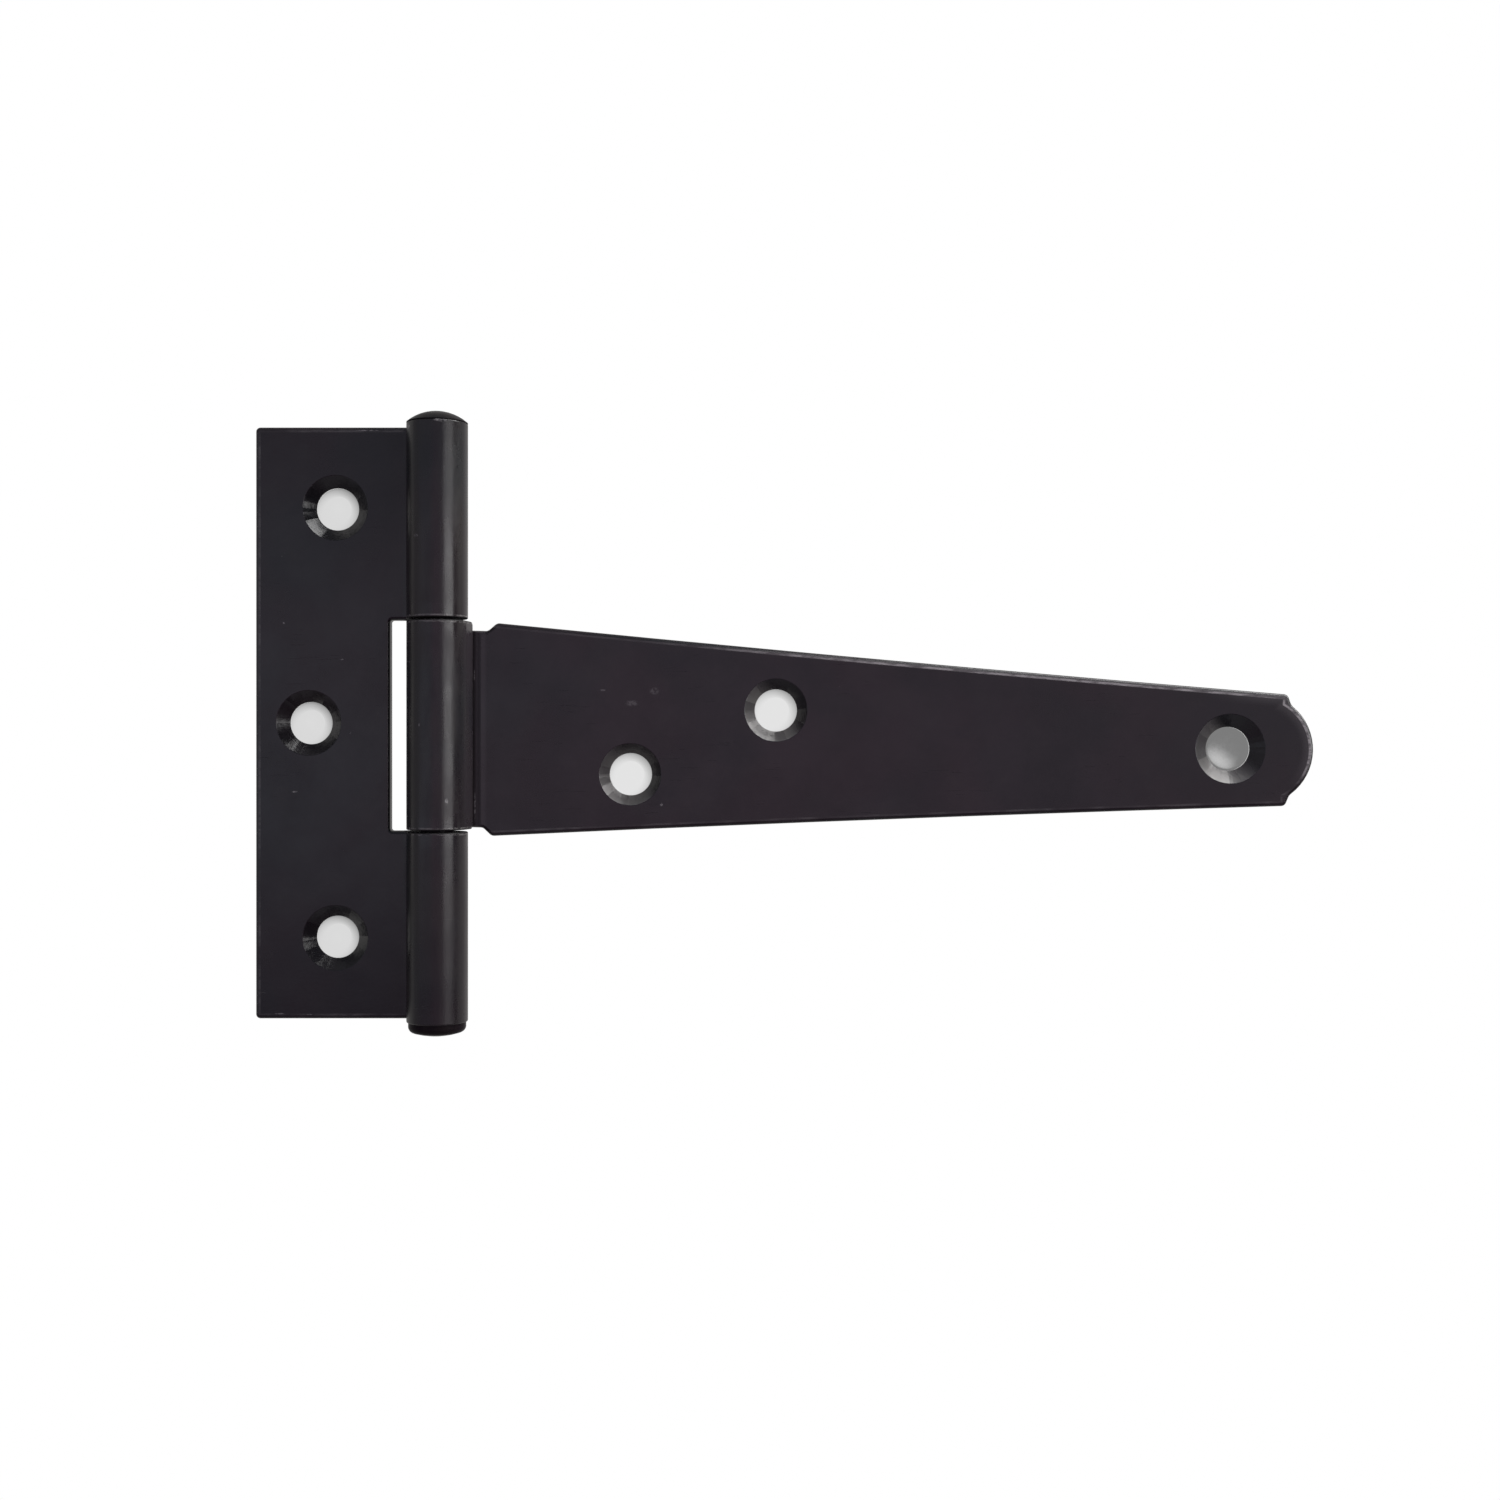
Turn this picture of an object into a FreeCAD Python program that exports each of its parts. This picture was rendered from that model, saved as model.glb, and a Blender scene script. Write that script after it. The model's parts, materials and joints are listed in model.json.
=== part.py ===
import FreeCAD, Part

import math
import os

# A light steel tee hinge, laid open flat. Every length is in millimetres.
# The backs of both leaves lie on Z = 0 and +Z points out of their front faces.
# The pin runs along Y above the origin. The plate leaf reaches towards -X and
# the long strap leaf towards +X.

# Sheet, barrel and pin
sheet = 1.5                       # thickness of both leaves
barrel_r = 3.5                    # outside radius of the rolled knuckles
bore_r = barrel_r - sheet         # inside radius of the rolled knuckles
pin_clearance = 0.025             # radial room between the pin and the knuckles
axis_z = barrel_r                 # the backs are tangent to the barrel

# Pin ends: a formed dome at the top and a hammered, flatter head at the bottom
head_rim = 0.1                    # straight rim under the dome
head_rise = 1.4
peen_r = 3.3
peen_rim = 1.0
peen_rise = 1.6
peen_round = 0.7

# The cut end of a rolled knuckle: its last stretch stays straight and leans out
lip_lean = 10.0                   # degrees from upright
lip_gap = 0.06                    # left between the cut end and its own leaf
lip_corner_r = 0.5                # rounded corners of the cut end

# Rounding left by the punch and the paint
front_round = 0.4
back_round = 0.15
sink_rim_round = 0.1

# Plate leaf: a rectangle with a notch that takes the strap's knuckle
plate_height = 68.8
plate_reach = 21.5                # from the pin axis to the outer edge
plate_corner_r = 0.5
notch_height = 24.5
notch_drop = 0.3                  # how far the notch sits below the plate's middle
notch_edge_x = 5.87               # from the pin axis to the bottom of the notch
notch_corner_r = 0.3

# Strap leaf: knuckle, narrow neck, long taper and shaped tip. Its flat part is drawn
# along its own centre line, which leans a little and starts below the plate's middle.
knuckle_gap = 0.25                # at each end of the strap's knuckle
strap_lean = 1.5                  # degrees, down towards the tip
strap_drop = 0.6                  # below the plate's middle, at the pin axis
neck_half = 11.45
flare_start_x = 5.2
flare_end_x = 6.25
flare_half = 12.4
flare_corner_r = 0.7
taper_sag = 0.2                   # how far the long sides curve inward at their middle
shoulder_x = 98.45
shoulder_half = 6.5
shoulder_r = 0.6
tip_root_x = 98.95                # where the shoulder step meets the rounded end
tip_root_r = 1.0
tip_radius = 6.5
strap_reach = 101.6               # from the pin axis to the end of the tip

# The strap is pressed down a little beside its knuckle
press_edge_x = 4.7
press_low_x = 3.3
press_inner_x = 1.6
press_depth = 0.2

# Countersunk screw holes: centre x, centre y, hole radius, countersink radius.
# The strap's are measured along its own centre line.
plate_holes = [
    (-12.2, 25.0, 2.475, 3.8),
    (-15.3, 0.0, 2.475, 3.8),
    (-12.2, -25.0, 2.475, 3.8),
]
strap_holes = [
    (22.2, -4.8, 2.475, 3.6),
    (38.95, 3.1, 2.475, 3.65),
    (91.9, 0.0, 2.575, 4.05),
]
sink_land = 0.2                   # straight wall left at the back of every hole

tail = 1.0                        # spare length past the pin axis, cut off before the knuckle is joined
TINY = 1e-5


def point(x, y, z=0.0):
    return FreeCAD.Vector(x, y, z)


def closed_face(edges):
    return Part.Face(Part.Wire(edges))


def upright_edges(solid, spots):
    """The edges along Z that stand at any of the (x, y) spots."""
    found = []
    for edge in solid.Edges:
        box = edge.BoundBox
        if box.ZLength < TINY or box.XLength > TINY or box.YLength > TINY:
            continue
        for x, y in spots:
            if math.hypot(box.XMin - x, box.YMin - y) < 0.01:
                found.append(edge)
    return found


def level_edges(solid, z):
    """The edges that lie flat at height z."""
    found = []
    for edge in solid.Edges:
        box = edge.BoundBox
        if abs(box.ZMin - z) < TINY and abs(box.ZMax - z) < TINY:
            found.append(edge)
    return found


def soften_blank(blank):
    blank = blank.makeFillet(front_round, level_edges(blank, sheet))
    return blank.makeFillet(back_round, level_edges(blank, 0.0))


def cut_tail(blank, side):
    """Cuts a blank off square at the pin axis. Its leaf lies towards side (+1 or -1) in X."""
    waste_x = min(0, -side * 2 * tail)
    waste = Part.makeBox(2 * tail, plate_height, 3 * sheet, point(waste_x, -plate_height / 2, -sheet))
    return blank.cut(waste)


def screw_hole(x, y, hole_r, sink_r):
    """The tool that cuts one countersunk hole from the front: a drill with a cone above the land."""
    beyond = 1.0
    drill = Part.makeCylinder(hole_r, sheet + 2 * beyond, point(x, y, -beyond))
    spread = (sink_r - hole_r) / (sheet - sink_land)
    cone_height = sheet - sink_land + beyond
    cone = Part.makeCone(hole_r, hole_r + spread * cone_height, cone_height, point(x, y, sink_land))
    return drill.fuse(cone)


def cut_screw_holes(leaf, holes):
    for hole in holes:
        leaf = leaf.cut(screw_hole(*hole))
    rims = []
    for edge in leaf.Edges:
        box = edge.BoundBox
        if abs(box.ZMin - sheet) > TINY or abs(box.ZMax - sheet) > TINY:
            continue
        for x, y, _, sink_r in holes:
            centred = abs(box.Center.x - x) < 0.01 and abs(box.Center.y - y) < 0.01
            if centred and abs(box.XLength - 2 * sink_r) < 0.01:
                rims.append(edge)
    return leaf.makeFillet(sink_rim_round, rims)


def curl_face(side):
    """Section of one rolled knuckle at Y = 0, for a leaf that lies towards side (+1 or -1) in X.

    The sheet leaves its leaf at X = 0, passes under the pin, round the far side and over
    the top, then runs straight down to its cut end just above the leaf's own front face.
    """
    lean = math.radians(lip_lean)
    across = point(math.cos(lean), 0, math.sin(lean))
    along = point(math.sin(lean), 0, -math.cos(lean))
    centre = point(0, 0, axis_z)
    outer_start = centre + across * barrel_r
    inner_start = centre + across * bore_r
    inner_drop = (inner_start.z - sheet - lip_gap) / math.cos(lean)
    inner_end = inner_start + along * inner_drop
    outer_end = outer_start + along * inner_drop
    far_outer = point(-barrel_r * math.cos(lean), 0, axis_z + barrel_r * math.sin(lean))
    far_inner = point(-bore_r * math.cos(lean), 0, axis_z + bore_r * math.sin(lean))
    root_back = point(0, 0, 0)
    root_front = point(0, 0, sheet)
    corners = [root_back, far_outer, outer_start, outer_end, inner_end, inner_start, far_inner, root_front]
    for corner in corners:
        corner.x *= side
    edges = [
        Part.Arc(root_back, far_outer, outer_start).toShape(),
        Part.LineSegment(outer_start, outer_end).toShape(),
        Part.LineSegment(outer_end, inner_end).toShape(),
        Part.LineSegment(inner_end, inner_start).toShape(),
        Part.Arc(inner_start, far_inner, root_front).toShape(),
        Part.LineSegment(root_front, root_back).toShape(),
    ]
    return closed_face(edges), outer_end, inner_end


def knuckle(side, low_y, high_y):
    """One rolled knuckle from low_y to high_y, with softened outer edges."""
    face, outer_end, inner_end = curl_face(side)
    face.translate(point(0, low_y, 0))
    roll = face.extrude(point(0, high_y - low_y, 0))

    lip_middle = (outer_end + inner_end) * 0.5
    corners = []
    for edge in roll.Edges:
        middle = edge.BoundBox.Center
        if edge.BoundBox.YLength < TINY and math.hypot(middle.x - lip_middle.x, middle.z - lip_middle.z) < 0.01:
            corners.append(edge)
    roll = roll.makeFillet(lip_corner_r, corners)

    outside = []
    for edge in roll.Edges:
        middle = edge.valueAt((edge.FirstParameter + edge.LastParameter) / 2)
        from_axis = math.hypot(middle.x, middle.z - axis_z)
        at_end = edge.BoundBox.YLength < TINY
        if at_end and from_axis > barrel_r - TINY and edge.Length > lip_corner_r:
            outside.append(edge)
    return roll.makeFillet(back_round, outside)


def notch_ends():
    """The lowest and highest Y of the notch."""
    half = notch_height / 2
    return -notch_drop - half, -notch_drop + half


def plate_blank():
    """The flat part of the plate leaf, up to the barrel."""
    half = plate_height / 2
    low, high = notch_ends()
    blank = Part.makeBox(plate_reach + tail, plate_height, sheet, point(-plate_reach, -half, 0))
    notch = Part.makeBox(notch_edge_x + tail, notch_height, sheet, point(-notch_edge_x, low, 0))
    blank = blank.cut(notch)
    outer = [(-plate_reach, -half), (-plate_reach, half)]
    inner = [(-notch_edge_x, low), (-notch_edge_x, high)]
    blank = blank.makeFillet(plate_corner_r, upright_edges(blank, outer))
    blank = blank.makeFillet(notch_corner_r, upright_edges(blank, inner))
    return cut_tail(soften_blank(blank), -1)


def make_plate_leaf():
    half = plate_height / 2
    low, high = notch_ends()
    leaf = plate_blank()
    leaf = leaf.fuse([knuckle(-1, high, half), knuckle(-1, -half, low)])
    return cut_screw_holes(leaf.removeSplitter(), plate_holes)


def taper_side(sign):
    """One long side of the strap, from the flare to the shoulder."""
    start = point(flare_end_x, sign * flare_half)
    end = point(shoulder_x, sign * shoulder_half)
    middle = (start + end) * 0.5
    middle.y -= sign * taper_sag
    return Part.Arc(start, middle, end).toShape()


def strap_blank():
    """The flat part of the strap leaf with its screw holes, along its own centre line."""
    tip_root_half = math.sqrt(tip_radius**2 - (tip_root_x - strap_reach + tip_radius) ** 2)
    edges = [Part.LineSegment(point(-tail, -neck_half), point(-tail, neck_half)).toShape()]
    for sign in (1, -1):
        neck_root = point(-tail, sign * neck_half)
        flare_start = point(flare_start_x, sign * neck_half)
        flare_end = point(flare_end_x, sign * flare_half)
        shoulder = point(shoulder_x, sign * shoulder_half)
        tip_root = point(tip_root_x, sign * tip_root_half)
        edges.append(Part.LineSegment(neck_root, flare_start).toShape())
        edges.append(Part.LineSegment(flare_start, flare_end).toShape())
        edges.append(taper_side(sign))
        edges.append(Part.LineSegment(shoulder, tip_root).toShape())
    end_arc = Part.Arc(point(tip_root_x, tip_root_half), point(strap_reach, 0), point(tip_root_x, -tip_root_half))
    edges.append(end_arc.toShape())
    blank = closed_face(Part.__sortEdges__(edges)).extrude(point(0, 0, sheet))

    flares = []
    shoulders = []
    roots = []
    for sign in (1, -1):
        flares.append((flare_start_x, sign * neck_half))
        flares.append((flare_end_x, sign * flare_half))
        shoulders.append((shoulder_x, sign * shoulder_half))
        roots.append((tip_root_x, sign * tip_root_half))
    blank = blank.makeFillet(flare_corner_r, upright_edges(blank, flares))
    blank = blank.makeFillet(shoulder_r, upright_edges(blank, shoulders))
    blank = blank.makeFillet(tip_root_r, upright_edges(blank, roots))
    return cut_screw_holes(soften_blank(blank), strap_holes)


def pressed_band():
    """The shallow valley pressed into the strap's front beside its knuckle."""
    corners = [
        point(press_inner_x, -notch_height, sheet),
        point(press_low_x, -notch_height, sheet - press_depth),
        point(press_edge_x, -notch_height, sheet),
    ]
    face = Part.Face(Part.makePolygon(corners + corners[:1]))
    return face.extrude(point(0, 2 * notch_height, 0))


def make_strap_leaf():
    low, high = notch_ends()
    leaf = strap_blank()
    leaf.rotate(point(0, 0), point(0, 0, 1), -strap_lean)
    leaf.translate(point(0, -strap_drop))
    leaf = cut_tail(leaf, 1)
    leaf = leaf.cut(pressed_band())
    leaf = leaf.fuse(knuckle(1, low + knuckle_gap, high - knuckle_gap))
    return leaf.removeSplitter()


def crown_arc(head_r, base_y, end_y):
    """The part-circle from the middle of a pin head out to its rim."""
    rise = end_y - base_y
    crown_r = (head_r**2 + rise**2) / (2 * rise)
    half_angle = math.asin(head_r / crown_r) / 2
    bulge = point(crown_r * math.sin(half_angle), end_y - crown_r * (1 - math.cos(half_angle)))
    return Part.Arc(point(0, end_y), bulge, point(head_r, base_y)).toShape()


def make_hinge_pin():
    """The pin with its two heads, turned about the pin axis."""
    pin_r = bore_r - pin_clearance
    half = plate_height / 2
    dome_base = half + head_rim
    dome_top = half + head_rise
    peen_base = -half - peen_rim
    peen_end = -half - peen_rise
    corners = [
        point(barrel_r, dome_base),
        point(barrel_r, half),
        point(pin_r, half),
        point(pin_r, -half),
        point(peen_r, -half),
        point(peen_r, peen_base),
    ]
    edges = [crown_arc(barrel_r, dome_base, dome_top), crown_arc(peen_r, peen_base, peen_end)]
    for start, end in zip(corners, corners[1:]):
        edges.append(Part.LineSegment(start, end).toShape())
    edges.append(Part.LineSegment(point(0, peen_end), point(0, dome_top)).toShape())
    section = closed_face(Part.__sortEdges__(edges))
    section.translate(point(0, 0, axis_z))
    pin = section.revolve(point(0, 0, axis_z), point(0, 1, 0), 360)
    peen_rims = []
    for edge in pin.Edges:
        box = edge.BoundBox
        if abs(box.YMin - peen_base) < TINY and box.YLength < TINY:
            peen_rims.append(edge)
    return pin.makeFillet(peen_round, peen_rims)


def main():
    os.makedirs("parts", exist_ok=True)
    makers = {
        "plate_leaf": make_plate_leaf,
        "strap_leaf": make_strap_leaf,
        "hinge_pin": make_hinge_pin,
    }
    for name, maker in makers.items():
        shape = maker()
        shape.exportStep("parts/" + name + ".step")
        box = shape.BoundBox
        print(name, shape.ShapeType, "solids", len(shape.Solids), "valid", shape.isValid(),
              "volume", round(shape.Volume, 2), "box", box)


main()
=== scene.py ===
import json
import math

import bpy
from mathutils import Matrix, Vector

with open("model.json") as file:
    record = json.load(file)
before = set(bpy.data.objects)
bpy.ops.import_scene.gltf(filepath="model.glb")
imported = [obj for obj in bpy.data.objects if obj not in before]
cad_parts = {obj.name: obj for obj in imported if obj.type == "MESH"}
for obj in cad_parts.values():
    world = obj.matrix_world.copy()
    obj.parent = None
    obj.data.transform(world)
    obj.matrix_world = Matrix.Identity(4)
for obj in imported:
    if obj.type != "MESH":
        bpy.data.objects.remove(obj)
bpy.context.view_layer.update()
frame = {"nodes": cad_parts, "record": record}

# A painted steel tee hinge lies open, backs down, seen from straight above.
# Lengths are in metres unless a name or a comment says mm; paint is laid out in mm.

MM = 0.001

# Camera: a plain lens straight above the hinge
CAMERA_AT = (0.036, -0.00315, 0.205)
VIEW_HALF_WIDTH = 0.08783         # half of what the frame takes in at the height of the backs
SENSOR = 36.0

# Room, in linear colour
CEILING_LEFT = (0.62, 0.64, 0.74, 1.0)
CEILING_RIGHT = (0.71, 0.56, 0.69, 1.0)
CEILING_END = (0.59, 0.51, 0.59, 1.0)
CEILING_NEAR = (0.14, 0.08, 0.12, 1.0)
CEILING_FAR = (0.22, 0.22, 0.27, 1.0)
WALLS = (0.3, 0.29, 0.31, 1.0)
WALL_RIGHT = (0.12, 0.11, 0.12, 1.0)
PAPER = (0.5, 0.49, 0.48, 1.0)

# Stage
FLOOR_DROP = 0.6                  # so far down that the hinge's back can be looked at from above the floor
STAGE_RADIUS = 3.0
SHADE_DROP = 0.0001               # the shades lie just under the backs of the leaves
SHADE_REACH = 0.005               # how far a shade looks round itself for metal
SHADE_SAMPLES = 32
SHADE_TURN_DEG = 35.0             # which way the painted shade deepens across the hole at the strap's tip
SHADE_HALF = 2.1                  # and over how many mm to each side of the hole's middle
CAST_REACH = 0.001                # length of the small shadow under an opening's upper right edge
CAST_FROM = (0.6, 0.8)            # the side of an opening that this shadow falls from
CAST_DEPTH = 1.1

# Screw holes, by the names of their mounts in the record
PLATE_SCREWS = ("plate_end_screws", "plate_middle_screw")
STRAP_ROOT_SCREWS = ("strap_root_screw", "strap_second_screw")
STRAP_TIP_SCREWS = ("strap_tip_screw",)
SINK_SHARE = 1.66                 # reach of a countersink, as a share of the hole's radius
FACETS = 11                       # chatter marks round one countersink
FACET_LEAN = 0.2                  # how far one facet may slope against the next, as rise over run
FACET_BULGE = 0.2                 # height of a facet's middle over its rims, in mm
WORN_AND_LIT_TOWARD = (-0.8, -0.6, 0.0)   # the side on which the countersinks of the strap are worn to the steel, which is the side the light falls on: partly wear, partly painted highlight
FULLY_WORN = 34.0                 # mm along the strap, from where they are worn down to the steel

# Where things are on the leaves, in mm
KNUCKLE_REACH = 4.0               # past this from the pin the leaves are flat
PLATE_ENDS = (11.95, -12.55)      # of its knuckles, facing the middle one
STRAP_ENDS = (11.7, -12.3)
PLATE_LEFT = -21.5
PLATE_HALF = 34.4
STRAP_LEAN_DEG = 1.5
STRAP_DROP = 0.6
STRAP_SIDE_START = (6.25, 12.4)
STRAP_SIDE_END = (98.45, 6.5)
STRAP_SIDE_SAG = 0.2
TIP_CENTRE = 95.1
TIP_RADIUS = 6.5

# Relief of the paint, in mm
WAVE_HEIGHT = 0.05                # slow waviness of the sheet
CREASE_HEIGHT = 0.025             # along the bent knuckles
SKIN_HEIGHT = 0.0035              # the paint's own fine skin
DUST_HEIGHT = 0.03
SCRATCH_DEPTH = 0.004
CHATTER_GRAIN = 0.018             # fine roughness of the drilled cones

# Index of refraction, which sets how much a face reflects when it is looked at squarely
LEAF_IOR = 1.5
PIN_IOR = 1.12


def grey(level, tint=(1.0, 1.0, 1.0)):
    return (level * tint[0], level * tint[1], level * tint[2], 1.0)


# Colours of the paint, of what lies on it or shows through it, and of the highlights and shade painted on
# it
COOL_BLACK = grey(0.0085, (0.9, 0.98, 1.25))
WARM_BLACK = grey(0.0095, (1.3, 0.88, 1.2))
BLOTCH = grey(0.018, (1.0, 0.95, 0.97))
STAIN = grey(0.02, (1.15, 0.93, 0.85))
BARE_STEEL = grey(0.24, (1.0, 0.98, 0.96))
PRESSED_WEAR = grey(0.06, (1.1, 0.95, 1.08))
# Painted highlights on the rounded rims and the knuckles' ends, and painted shade in the knuckle gaps
RIM_HIGHLIGHT = grey(0.45, (1.0, 0.98, 0.96))
KNUCKLE_END_HIGHLIGHT = grey(0.3, (1.0, 0.97, 0.94))
GAP_SHADE = grey(0.002)
DUST_AND_GLINTS = grey(0.3, (1.0, 0.98, 0.98))

# Scuffs and a few painted glints: middle, half width and half length of each in mm, and how far they show
PLATE_SCUFFS_AND_GLINTS = (
    (-11.5, 7.4, 0.3, 0.12, 0.8),
    (-16.9, -8.0, 0.45, 0.12, 0.8),
    (-18.2, 11.6, 0.15, 0.15, 0.8),
    (-8.4, 34.0, 1.6, 0.08, 0.8),
    (-1.9, 21.2, 0.35, 0.2, 0.8),
    # The next two are painted glints on the top knuckle, not scuffs
    (-2.9, 33.8, 0.2, 0.35, 0.8),
    (0.9, 34.3, 0.95, 0.3, 0.8),
    (-18.7, -33.8, 0.7, 0.1, 0.6),
    (-15.2, -33.9, 0.4, 0.08, 0.6),
    (-20.6, -31.4, 0.35, 0.1, 0.6),
)
STRAP_SCUFFS_AND_GLINTS = (
    # A painted glint on the middle knuckle, not a scuff
    (1.6, -9.0, 0.22, 0.5, 0.8),
    (4.0, -9.6, 0.12, 2.2, 0.8),
    (3.95, 5.6, 0.1, 0.8, 0.8),
    (-2.9, 6.9, 0.4, 0.07, 0.6),
    (-3.0, 9.2, 0.4, 0.07, 0.6),
    (-1.5, -0.3, 0.1, 0.25, 0.6),
    (-3.0, -8.1, 0.4, 0.07, 0.6),
    (22.3, 2.3, 0.9, 0.45, 0.25),
    (24.9, 3.7, 0.7, 0.5, 0.25),
    (18.9, 3.8, 0.4, 0.15, 0.3),
    (25.7, -9.5, 0.22, 0.2, 0.8),
)


class Nodes:
    """Short calls for building the node tree of a material or a world."""

    def __init__(self, owner):
        self.owner = owner
        owner.use_nodes = True
        self.tree = owner.node_tree
        self.tree.nodes.clear()

    def feed(self, socket, value):
        if isinstance(value, bpy.types.NodeSocket):
            self.tree.links.new(value, socket)
        else:
            socket.default_value = value

    def add(self, kind, inputs=None, **settings):
        node = self.tree.nodes.new(kind)
        for name, value in settings.items():
            setattr(node, name, value)
        for name, value in (inputs or {}).items():
            self.feed(node.inputs[name], value)
        return node

    def math(self, operation, a, b=0.0, c=0.0, clamp=False):
        inputs = {0: a, 1: b}
        if operation == "MULTIPLY_ADD":
            inputs[2] = c
        return self.add("ShaderNodeMath", inputs, operation=operation, use_clamp=clamp).outputs[0]

    def product(self, first, *others):
        for other in others:
            first = self.math("MULTIPLY", first, other)
        return first

    def highest(self, first, *others):
        for other in others:
            first = self.math("MAXIMUM", first, other)
        return first

    def inverse(self, value):
        return self.math("SUBTRACT", 1.0, value, clamp=True)

    def vector(self, operation, a, b=(0, 0, 0)):
        node = self.add("ShaderNodeVectorMath", {0: a, 1: b}, operation=operation)
        return node.outputs["Value" if operation in ("LENGTH", "DOT_PRODUCT") else "Vector"]

    def split(self, vector):
        node = self.add("ShaderNodeSeparateXYZ", {0: vector})
        return node.outputs[0], node.outputs[1], node.outputs[2]

    def place_mm(self):
        """Where a point is on its object, in mm."""
        scaled = self.add("ShaderNodeVectorMath", {0: self.add("ShaderNodeTexCoord").outputs["Object"]},
                          operation="SCALE")
        scaled.inputs["Scale"].default_value = 1.0 / MM
        return scaled.outputs[0]

    def mapped(self, vector, shift=(0, 0, 0), turn_deg=0.0, scale=(1, 1, 1)):
        inputs = {0: vector, 1: shift, 2: (0, 0, math.radians(turn_deg)), 3: scale}
        return self.add("ShaderNodeMapping", inputs).outputs[0]

    def noise(self, vector, scale, detail=2.0, roughness=0.5):
        inputs = {"Vector": vector, "Scale": scale, "Detail": detail, "Roughness": roughness}
        return self.add("ShaderNodeTexNoise", inputs).outputs[0]

    def ramp(self, value, low, high, to_low=0.0, to_high=1.0):
        """A smooth step: to_low below low, to_high above high."""
        inputs = {0: value, 1: low, 2: high, 3: to_low, 4: to_high}
        return self.add("ShaderNodeMapRange", inputs, interpolation_type="SMOOTHSTEP").outputs[0]

    def window(self, value, low, high, soft):
        """1 where value lies between low and high, falling to 0 over soft on both sides."""
        rise = self.ramp(value, low - soft, low)
        fall = self.ramp(value, high, high + soft, 1.0, 0.0)
        return self.math("MULTIPLY", rise, fall)

    def blend(self, factor, a, b):
        """Colour a where factor is 0 and b where it is 1."""
        node = self.add("ShaderNodeMix", data_type="RGBA")
        self.feed(node.inputs[0], factor)
        self.feed(node.inputs[6], a)
        self.feed(node.inputs[7], b)
        return node.outputs[2]

    def finish(self, shader, output="ShaderNodeOutputMaterial"):
        self.tree.links.new(shader, self.add(output).inputs["Surface"])
        return self.owner


def new_material(name):
    return Nodes(bpy.data.materials.new(name))


def screw_holes(names):
    """Centre and radius, in mm, of every screw hole that these mounts of the record describe."""
    holes = []
    for mount in frame["record"]["mounts"]:
        if mount["name"] not in names:
            continue
        x, y, _ = (value / MM for value in mount["pos_m"])
        dims = mount["dims"]
        if mount["kind"] == "bolt_pattern":
            half = dims["spacing_y_mm"] / 2
            holes.append((x, y + half, dims["hole_r_mm"]))
            holes.append((x, y - half, dims["hole_r_mm"]))
        else:
            holes.append((x, y, dims["r_mm"]))
    return holes


def countersinks(nodes, place, holes):
    """Mask of the countersunk rings, the relief of the drill's chatter in mm, and a mask of their bare
    steel, laid on the side the light falls on: partly wear, partly painted highlight.
    """
    rings = 0.0
    relief = 0.0
    worn_and_lit = 0.0
    for number, (x, y, radius) in enumerate(holes):
        across, along, _ = nodes.split(nodes.vector("SUBTRACT", place, (x, y, 0.0)))
        flat = nodes.add("ShaderNodeCombineXYZ", {0: across, 1: along}).outputs[0]
        from_centre = nodes.vector("LENGTH", flat)
        reach = radius * SINK_SHARE
        ring = nodes.ramp(from_centre, reach + 0.2, reach + 0.1)
        angle = nodes.math("ARCTAN2", along, across)
        # Each hole has its own stretch of cells, so that no two are alike
        turn = nodes.math("MULTIPLY_ADD", angle, FACETS / math.tau, FACETS * (number + 3))
        cells = nodes.add("ShaderNodeTexVoronoi", {"W": turn, "Scale": 1.0}, voronoi_dimensions="1D")
        tilt, bulge, _ = nodes.split(cells.outputs["Color"])
        lean = nodes.math("MULTIPLY", nodes.math("SUBTRACT", tilt, 0.5), FACET_LEAN)
        slope = nodes.math("MULTIPLY", lean, nodes.math("SUBTRACT", from_centre, radius))
        tent = nodes.product(cells.outputs["Distance"], bulge, FACET_BULGE)
        # Bare steel is laid on the side the light falls on, so it is partly a painted highlight
        toward = nodes.ramp(nodes.vector("DOT_PRODUCT", flat, WORN_AND_LIT_TOWARD), -1.6, 1.0)
        facet_wear_and_light = nodes.math("MULTIPLY", toward, nodes.ramp(bulge, 0.0, 1.0, 0.45, 1.0))
        rings = nodes.math("ADD", ring, rings)
        relief = nodes.math("MULTIPLY_ADD", ring, nodes.math("ADD", slope, tent), relief)
        worn_and_lit = nodes.math("MULTIPLY_ADD", ring, facet_wear_and_light, worn_and_lit)
    return nodes.math("MINIMUM", rings, 1.0), relief, worn_and_lit


def specks(nodes, place, spacing_mm, size_mm, share):
    """Mask of a few small dots, about one in each spacing, of which only a share shows."""
    wobble = nodes.noise(place, 3.0, 1.0)
    sideways = nodes.add("ShaderNodeCombineXYZ", {0: wobble, 1: wobble}).outputs[0]
    wobbled = nodes.vector("ADD", place, sideways)
    cells = nodes.add("ShaderNodeTexVoronoi", {"Vector": wobbled, "Scale": 1.0 / spacing_mm})
    pick, size, _ = nodes.split(cells.outputs["Color"])
    reach = nodes.math("MULTIPLY", nodes.math("MULTIPLY_ADD", size, 0.8, 0.3), size_mm / spacing_mm)
    inner = nodes.math("MULTIPLY", reach, 0.5)
    dot = nodes.ramp(cells.outputs["Distance"], inner, reach, 1.0, 0.0)
    return nodes.math("MULTIPLY", dot, nodes.math("LESS_THAN", pick, share))


def scratches(nodes, place, turn_deg, shift):
    """Mask of sparse hair-thin marks that run along one direction."""
    turned = nodes.mapped(place, (shift, shift, 0.0), turn_deg, (0.22, 9.0, 1.0))
    thin = nodes.ramp(nodes.noise(turned, 1.0, 2.0, 0.4), 0.715, 0.76)
    patches = nodes.ramp(nodes.noise(place, 0.11, 1.0), 0.5, 0.62)
    return nodes.math("MULTIPLY", thin, patches)


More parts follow.
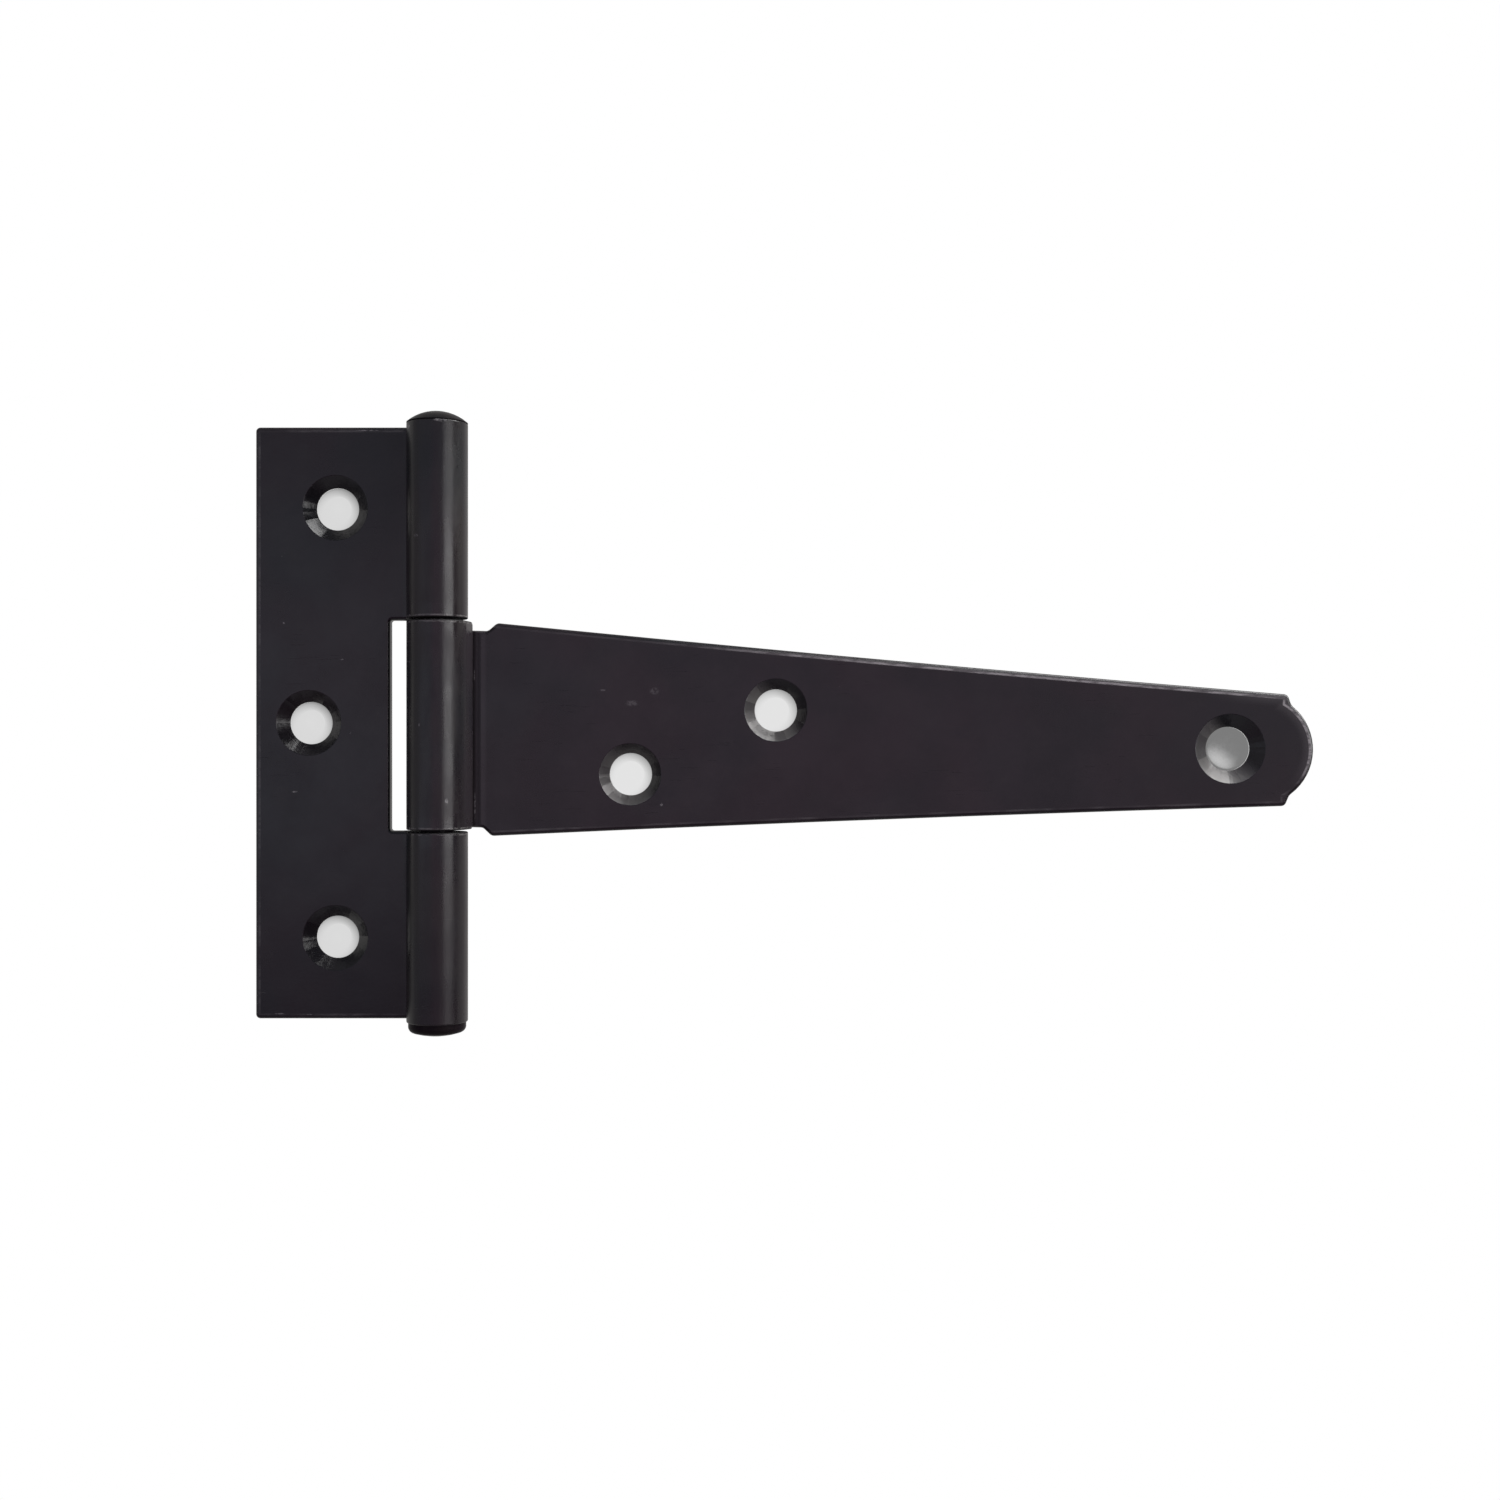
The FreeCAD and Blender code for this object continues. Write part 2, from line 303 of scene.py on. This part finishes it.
def scuff_and_glint_mask(nodes, place, scuffs_and_glints):
    """Mask of single scuffs and a few painted glints, ragged at their rims."""
    mask = 0.0
    rag = nodes.ramp(nodes.noise(place, 2.2, 4.0, 0.7), 0.38, 0.6)
    for x, y, half_width, half_length, strength in scuffs_and_glints:
        away = nodes.mapped(place, (-x / half_width, -y / half_length, 0.0), 0.0,
                            (1.0 / half_width, 1.0 / half_length, 0.0))
        mask = nodes.highest(nodes.ramp(nodes.vector("LENGTH", away), 1.0, 0.4, 0.0, strength), mask)
    return nodes.math("MULTIPLY", mask, rag)


def plate_rim(nodes, place):
    """Distance from the plate's outline, in mm, and how strong the painted edge highlight is on each side.
    """
    across, along, _ = nodes.split(place)
    from_ends = nodes.math("SUBTRACT", PLATE_HALF, nodes.math("ABSOLUTE", along))
    from_left = nodes.math("SUBTRACT", across, PLATE_LEFT)
    distance = nodes.math("MINIMUM", from_ends, from_left)
    return distance, nodes.ramp(nodes.noise(place, 0.2, 2.0), 0.4, 0.6, 0.03, 0.14)


def strap_rim(nodes, place):
    """Distance from the strap's outline, in mm, and how strong the painted edge highlight is on each side.
    """
    own = nodes.vector("ADD", place, (0.0, STRAP_DROP, 0.0))
    own = nodes.mapped(own, turn_deg=STRAP_LEAN_DEG)
    x, y, _ = nodes.split(own)
    start_x, start_y = STRAP_SIDE_START
    end_x, end_y = STRAP_SIDE_END
    share = nodes.math("MULTIPLY_ADD", x, 1.0 / (end_x - start_x), -start_x / (end_x - start_x))
    chord = nodes.math("MULTIPLY_ADD", share, end_y - start_y, start_y)
    sag = nodes.product(share, nodes.math("SUBTRACT", 1.0, share), 4 * STRAP_SIDE_SAG)
    from_side = nodes.math("SUBTRACT", nodes.math("SUBTRACT", chord, sag), nodes.math("ABSOLUTE", y))
    from_side = nodes.math("MINIMUM", from_side, nodes.math("SUBTRACT", end_x, x))
    from_tip_centre = nodes.mapped(own, (-TIP_CENTRE, 0.0, 0.0), 0.0, (1.0, 1.0, 0.0))
    from_tip = nodes.math("SUBTRACT", TIP_RADIUS, nodes.vector("LENGTH", from_tip_centre))
    distance = nodes.highest(from_side, from_tip)
    slant = 0.15                      # the strong painted highlight lies above a line that falls this much towards the tip
    over_line = nodes.math("MULTIPLY_ADD", x, slant, nodes.math("SUBTRACT", y, slant * TIP_CENTRE))
    upper = nodes.ramp(over_line, -4.0, 0.0)
    hard = nodes.product(upper, nodes.ramp(x, 22.0, 48.0, 0.1, 1.0))
    soft = nodes.ramp(nodes.noise(place, 0.2, 2.0), 0.4, 0.6, 0.02, 0.12)
    return distance, nodes.highest(hard, soft)


class Skin:
    """Where a point of the paint is, in mm on its object, and masks of the features it lies on."""

    def __init__(self, nodes, holes):
        self.place = nodes.place_mm()
        self.across, self.along, _ = nodes.split(self.place)
        normal = nodes.add("ShaderNodeNewGeometry").outputs["Normal"]
        facing = nodes.add("ShaderNodeVectorTransform", {0: normal}, vector_type="NORMAL",
                           convert_from="WORLD", convert_to="OBJECT").outputs[0]
        self.up = nodes.split(nodes.vector("ABSOLUTE", facing))[2]
        from_pin = nodes.math("ABSOLUTE", self.across)
        self.barrel = nodes.ramp(from_pin, KNUCKLE_REACH + 0.4, KNUCKLE_REACH)
        self.drawn_out = nodes.mapped(self.place, scale=(1.0, 0.2, 1.0))
        self.streaks = nodes.noise(nodes.mapped(self.place, scale=(0.35, 1.6, 1.6)), 1.3, 3.0, 0.6)
        rings, self.chatter, worn_and_lit = countersinks(nodes, self.place, holes)
        self.cone = nodes.product(nodes.window(self.up, 0.55, 0.85, 0.1), rings)
        self.bare = nodes.product(self.cone, nodes.ramp(self.across, 0.0, FULLY_WORN), worn_and_lit)


def mottled_black(nodes, skin):
    """Broad drifts between a cool and a warm black, fine mottling, and stains drawn along the knuckles."""
    drift = nodes.ramp(nodes.noise(skin.place, 0.07, 3.0), 0.38, 0.62)
    paint = nodes.blend(drift, COOL_BLACK, WARM_BLACK)
    blotches = nodes.ramp(nodes.noise(skin.place, 0.33, 4.0, 0.6), 0.42, 0.72)
    paint = nodes.blend(nodes.math("MULTIPLY", blotches, 0.3), paint, BLOTCH)
    stains = nodes.ramp(nodes.noise(skin.drawn_out, 0.3, 4.0, 0.6), 0.4, 0.66)
    return nodes.blend(nodes.product(stains, skin.barrel, 0.5), paint, STAIN)


def wear_pressed_strip(nodes, skin, paint):
    """The pressed strip beside the strap's knuckle is worn."""
    pressed = nodes.product(nodes.window(skin.across, 3.6, 5.0, 0.5), nodes.ramp(skin.up, 0.0, 0.2))
    return nodes.blend(nodes.math("MULTIPLY", pressed, 0.35), paint, PRESSED_WEAR)


def highlight_rim(nodes, skin, paint, rim):
    """Painted highlight on the rounded edges: a dull band just inside the outline, a brighter broken line
    within it, and a faint lighter wash towards the tip.
    """
    distance, highlight_strength = rim(nodes, skin.place)
    band = nodes.product(nodes.window(distance, 0.25, 0.6, 0.07), 0.3)
    breaks = nodes.ramp(skin.streaks, 0.35, 0.6, 0.3, 1.0)
    line = nodes.product(nodes.window(distance, 0.4, 0.57, 0.07), breaks)
    faded = nodes.product(nodes.ramp(distance, 1.7, 0.5), nodes.ramp(skin.across, 88.0, 97.0), 0.1)
    # Painted highlight along the rounded edges
    rim_highlight = nodes.product(nodes.highest(band, line, faded), highlight_strength, nodes.inverse(skin.barrel))
    return nodes.blend(rim_highlight, paint, RIM_HIGHLIGHT)


def shade_and_highlight_knuckle_end(nodes, skin, paint, rougher, end):
    """Painted shade in the gap at a knuckle's end, a thin painted highlight line beside it, and a slight
    polish.
    """
    from_end = nodes.math("ABSOLUTE", nodes.math("SUBTRACT", skin.along, end))
    breaks = nodes.ramp(skin.streaks, 0.42, 0.58)
    line = nodes.product(nodes.window(from_end, 0.17, 0.3, 0.06), breaks, skin.barrel)
    # A thin painted highlight line beside the gap
    paint = nodes.blend(nodes.math("MULTIPLY", line, 0.35), paint, KNUCKLE_END_HIGHLIGHT)
    # Painted shade in the gap
    gap_shade = nodes.product(nodes.ramp(from_end, 0.14, 0.07), skin.barrel)
    paint = nodes.blend(gap_shade, paint, GAP_SHADE)
    polished = nodes.product(nodes.ramp(from_end, 2.2, 0.8), skin.barrel)
    rougher = nodes.math("MULTIPLY_ADD", gap_shade, 0.6, rougher)
    rougher = nodes.math("MULTIPLY_ADD", polished, -0.07, rougher)
    return paint, rougher


def gloss(nodes, skin, rougher):
    """Roughness of the surface: uneven on the flats, duller in places on the barrel and on bare steel."""
    roughness = nodes.ramp(nodes.noise(skin.place, 0.12, 3.0, 0.6), 0.3, 0.7, 0.17, 0.24)
    roughness = nodes.math("MULTIPLY_ADD", nodes.noise(skin.place, 1.7, 3.0), 0.06, roughness)
    dull = nodes.product(nodes.ramp(nodes.noise(skin.drawn_out, 0.45, 3.0, 0.6), 0.3, 0.75), skin.barrel)
    roughness = nodes.math("MULTIPLY_ADD", dull, 0.13, roughness)
    roughness = nodes.math("ADD", roughness, rougher)
    return nodes.math("MULTIPLY_ADD", skin.bare, 0.2, roughness)


def surface_relief(nodes, skin, dust, marks):
    """Height of the surface in mm."""
    creases = nodes.noise(nodes.mapped(skin.place, scale=(1.0, 0.07, 1.0)), 1.1, 3.0, 0.6)
    creases = nodes.math("MULTIPLY", creases, skin.barrel)
    grain = nodes.math("MULTIPLY", nodes.noise(skin.place, 2.5, 2.0), skin.cone)
    relief = nodes.math("MULTIPLY", nodes.noise(skin.place, 0.16, 1.0), WAVE_HEIGHT)
    relief = nodes.math("MULTIPLY_ADD", creases, CREASE_HEIGHT, relief)
    relief = nodes.math("MULTIPLY_ADD", nodes.noise(skin.place, 1.8, 3.0, 0.55), SKIN_HEIGHT, relief)
    relief = nodes.math("MULTIPLY_ADD", dust, DUST_HEIGHT, relief)
    relief = nodes.math("MULTIPLY_ADD", marks, -SCRATCH_DEPTH, relief)
    relief = nodes.math("MULTIPLY_ADD", skin.chatter, skin.cone, relief)
    return nodes.math("MULTIPLY_ADD", grain, CHATTER_GRAIN, relief)


def painted_steel(name, ior, holes=(), rim=None, ends=(), scuffs_and_glints=()):
    """Thin black paint on steel: dull gloss, faint mottling, painted highlights on the edges, painted shade
    in the knuckle gaps, specks of dust and a few painted glints.
    """
    nodes = new_material(name)
    skin = Skin(nodes, holes)

    # Worn paint, painted highlights on the rims and knuckle ends, and painted shade in the knuckle gaps
    paint = mottled_black(nodes, skin)
    # Bare steel in the strap's countersinks, on their lit side: partly wear, partly painted highlight
    paint = nodes.blend(skin.bare, paint, BARE_STEEL)
    paint = wear_pressed_strip(nodes, skin, paint)
    if rim:
        paint = highlight_rim(nodes, skin, paint, rim)
    rougher = 0.0
    for end in ends:
        paint, rougher = shade_and_highlight_knuckle_end(nodes, skin, paint, rougher, end)

    # Scratches, dust, scuffs and a few painted glints
    marks = scratches(nodes, skin.place, turn_deg=24.0, shift=3.0)
    dust = specks(nodes, skin.place, spacing_mm=7.0, size_mm=0.3, share=0.25)
    fine_dust = specks(nodes, skin.place, spacing_mm=2.6, size_mm=0.08, share=0.2)
    marks_and_glints = nodes.highest(nodes.math("MULTIPLY", dust, 0.45), nodes.math("MULTIPLY", fine_dust, 0.35),
                                nodes.math("MULTIPLY", marks, 0.05))
    if scuffs_and_glints:
        marks_and_glints = nodes.highest(scuff_and_glint_mask(nodes, skin.place, scuffs_and_glints), marks_and_glints)
    # Dust and scratch marks, scuffs, and a few painted glints
    paint = nodes.blend(marks_and_glints, paint, DUST_AND_GLINTS)

    bump = nodes.add("ShaderNodeBump", {"Height": surface_relief(nodes, skin, dust, marks),
                                        "Distance": MM, "Strength": 1.0})
    surface = nodes.add("ShaderNodeBsdfPrincipled", {
        "Base Color": paint,
        "Roughness": gloss(nodes, skin, rougher),
        "IOR": ior,
        "Normal": bump.outputs[0],
    })
    if holes:
        nodes.feed(surface.inputs["Metallic"], nodes.math("MULTIPLY", skin.bare, 0.85))
    return nodes.finish(surface.outputs[0])


def dress(node_name, material):
    """Gives a CAD node its finish."""
    mesh = frame["nodes"][node_name].data
    mesh.materials.clear()
    mesh.materials.append(material)


def make_camera():
    data = bpy.data.cameras.new("camera")
    data.sensor_width = SENSOR
    data.lens = SENSOR / 2 * CAMERA_AT[2] / VIEW_HALF_WIDTH
    data.clip_start = 0.01
    data.clip_end = 4 * STAGE_RADIUS
    camera = bpy.data.objects.new("camera", data)
    camera.location = CAMERA_AT
    bpy.context.scene.collection.objects.link(camera)
    bpy.context.scene.camera = camera


def panel(name, toward, distance, size, power):
    """A soft light whose middle lies in one direction from the hinge, facing it."""
    data = bpy.data.lights.new(name, "AREA")
    data.shape = "RECTANGLE"
    data.size, data.size_y = size
    data.energy = power
    light = bpy.data.objects.new(name, data)
    middle = Vector((CAMERA_AT[0], CAMERA_AT[1], 0.0))
    direction = Vector(toward).normalized()
    light.location = middle + direction * distance
    light.rotation_mode = "QUATERNION"
    light.rotation_quaternion = direction.to_track_quat("Z", "Y")
    light.visible_camera = False
    bpy.context.scene.collection.objects.link(light)


def make_room():
    """What the hinge reflects: a dim ceiling in several tones, darker walls and pale paper under it."""
    nodes = Nodes(bpy.data.worlds.new("room"))
    across, away, height = nodes.split(nodes.add("ShaderNodeTexCoord").outputs["Generated"])
    ceiling = nodes.blend(nodes.ramp(across, -0.3, -0.05), CEILING_LEFT, CEILING_RIGHT)
    ceiling = nodes.blend(nodes.ramp(across, 0.16, 0.3), ceiling, CEILING_END)
    ceiling = nodes.blend(nodes.ramp(away, -0.06, -0.17), ceiling, CEILING_NEAR)
    ceiling = nodes.blend(nodes.ramp(away, 0.08, 0.2), ceiling, CEILING_FAR)
    walls = nodes.blend(nodes.ramp(across, 0.3, 0.7), WALLS, WALL_RIGHT)
    walls = nodes.blend(nodes.ramp(height, 0.25, 0.7), walls, ceiling)
    room = nodes.blend(nodes.ramp(height, 0.02, -0.08), walls, PAPER)
    background = nodes.add("ShaderNodeBackground", {"Color": room})
    bpy.context.scene.world = nodes.finish(background.outputs[0], "ShaderNodeOutputWorld")


def make_lights():
    panel("window_right", toward=(0.785, 0.06, 0.62), distance=1.2, size=(0.33, 0.75), power=2.7)
    panel("window_low", toward=(0.64, 0.77, 0.05), distance=0.9, size=(1.0, 0.4), power=9.5)


def for_the_eye_only(thing, material):
    """Stage pieces show in pictures but throw no light, shadow or reflection on the hinge."""
    thing.data.materials.append(material)
    thing.visible_diffuse = False
    thing.visible_glossy = False
    thing.visible_transmission = False
    thing.visible_shadow = False


def glowing_white():
    white = new_material("stage_white")
    glow = white.add("ShaderNodeEmission", {"Color": grey(1.0), "Strength": 1.0})
    return white.finish(glow.outputs[0])


def opening_shade(name, near_depth, far_depth, most, deepest=grey(0.115)):
    """Clear film that darkens only where metal stands over it, like paper seen in an opening.

    The depth of the shade runs from near_depth to far_depth across the opening, and most is its
    limit, apart from the small shadow under the opening's upper right edge.
    """
    film = new_material(name)
    along = film.split(film.mapped(film.place_mm(), turn_deg=SHADE_TURN_DEG))[1]
    sky = film.add("ShaderNodeAmbientOcclusion", {"Distance": SHADE_REACH}, samples=SHADE_SAMPLES)
    toward, away = CAST_FROM
    cast_from = film.add("ShaderNodeCombineXYZ", {0: toward, 1: away}).outputs[0]
    lit = film.add("ShaderNodeAmbientOcclusion", {"Distance": CAST_REACH, "Normal": cast_from},
                   samples=SHADE_SAMPLES)
    depth = film.ramp(along, -SHADE_HALF, SHADE_HALF, near_depth, far_depth)
    shade = film.math("MULTIPLY", film.inverse(sky.outputs["AO"]), depth)
    shade = film.math("MINIMUM", shade, most)
    shade = film.math("MULTIPLY_ADD", film.inverse(lit.outputs["AO"]), CAST_DEPTH, shade)
    tint = film.blend(film.inverse(shade), deepest, grey(1.0))
    return film.finish(film.add("ShaderNodeBsdfTransparent", {"Color": tint}).outputs[0])


def make_shades():
    """The paper's shade in each screw hole."""
    shallow = opening_shade("stage_shade_plate", near_depth=2.6, far_depth=2.6, most=0.35)
    slight = opening_shade("stage_shade_strap", near_depth=2.3, far_depth=2.3, most=0.26)
    # Painted shade in the tip hole, deeper on one side of it
    deepening_shade = opening_shade("stage_shade_tip", near_depth=3.5, far_depth=13.0, most=1.0, deepest=grey(0.2))
    groups = (
        (shallow, PLATE_SCREWS),
        (slight, STRAP_ROOT_SCREWS),
        (deepening_shade, STRAP_TIP_SCREWS),
    )
    for material, names in groups:
        for x, y, radius in screw_holes(names):
            bpy.ops.mesh.primitive_circle_add(vertices=64, radius=radius * MM, fill_type="NGON",
                                              location=(x * MM, y * MM, -SHADE_DROP))
            for_the_eye_only(bpy.context.object, material)


def make_stage():
    white = glowing_white()
    bpy.ops.mesh.primitive_uv_sphere_add(segments=64, ring_count=32, radius=STAGE_RADIUS)
    for_the_eye_only(bpy.context.object, white)
    bpy.ops.mesh.primitive_plane_add(size=2 * STAGE_RADIUS, location=(0, 0, -FLOOR_DROP))
    for_the_eye_only(bpy.context.object, white)
    make_shades()


def paint_hinge():
    plate_holes = screw_holes(PLATE_SCREWS)
    strap_holes = screw_holes(STRAP_ROOT_SCREWS + STRAP_TIP_SCREWS)
    plate_paint = painted_steel("plate_paint", LEAF_IOR, plate_holes, plate_rim, PLATE_ENDS, PLATE_SCUFFS_AND_GLINTS)
    strap_paint = painted_steel("strap_paint", LEAF_IOR, strap_holes, strap_rim, STRAP_ENDS, STRAP_SCUFFS_AND_GLINTS)
    dress("plate_leaf", plate_paint)
    dress("strap_leaf", strap_paint)
    dress("hinge_pin", painted_steel("pin_paint", PIN_IOR))


bpy.context.scene.view_settings.view_transform = "Standard"
make_camera()
make_room()
make_lights()
make_stage()
paint_hinge()
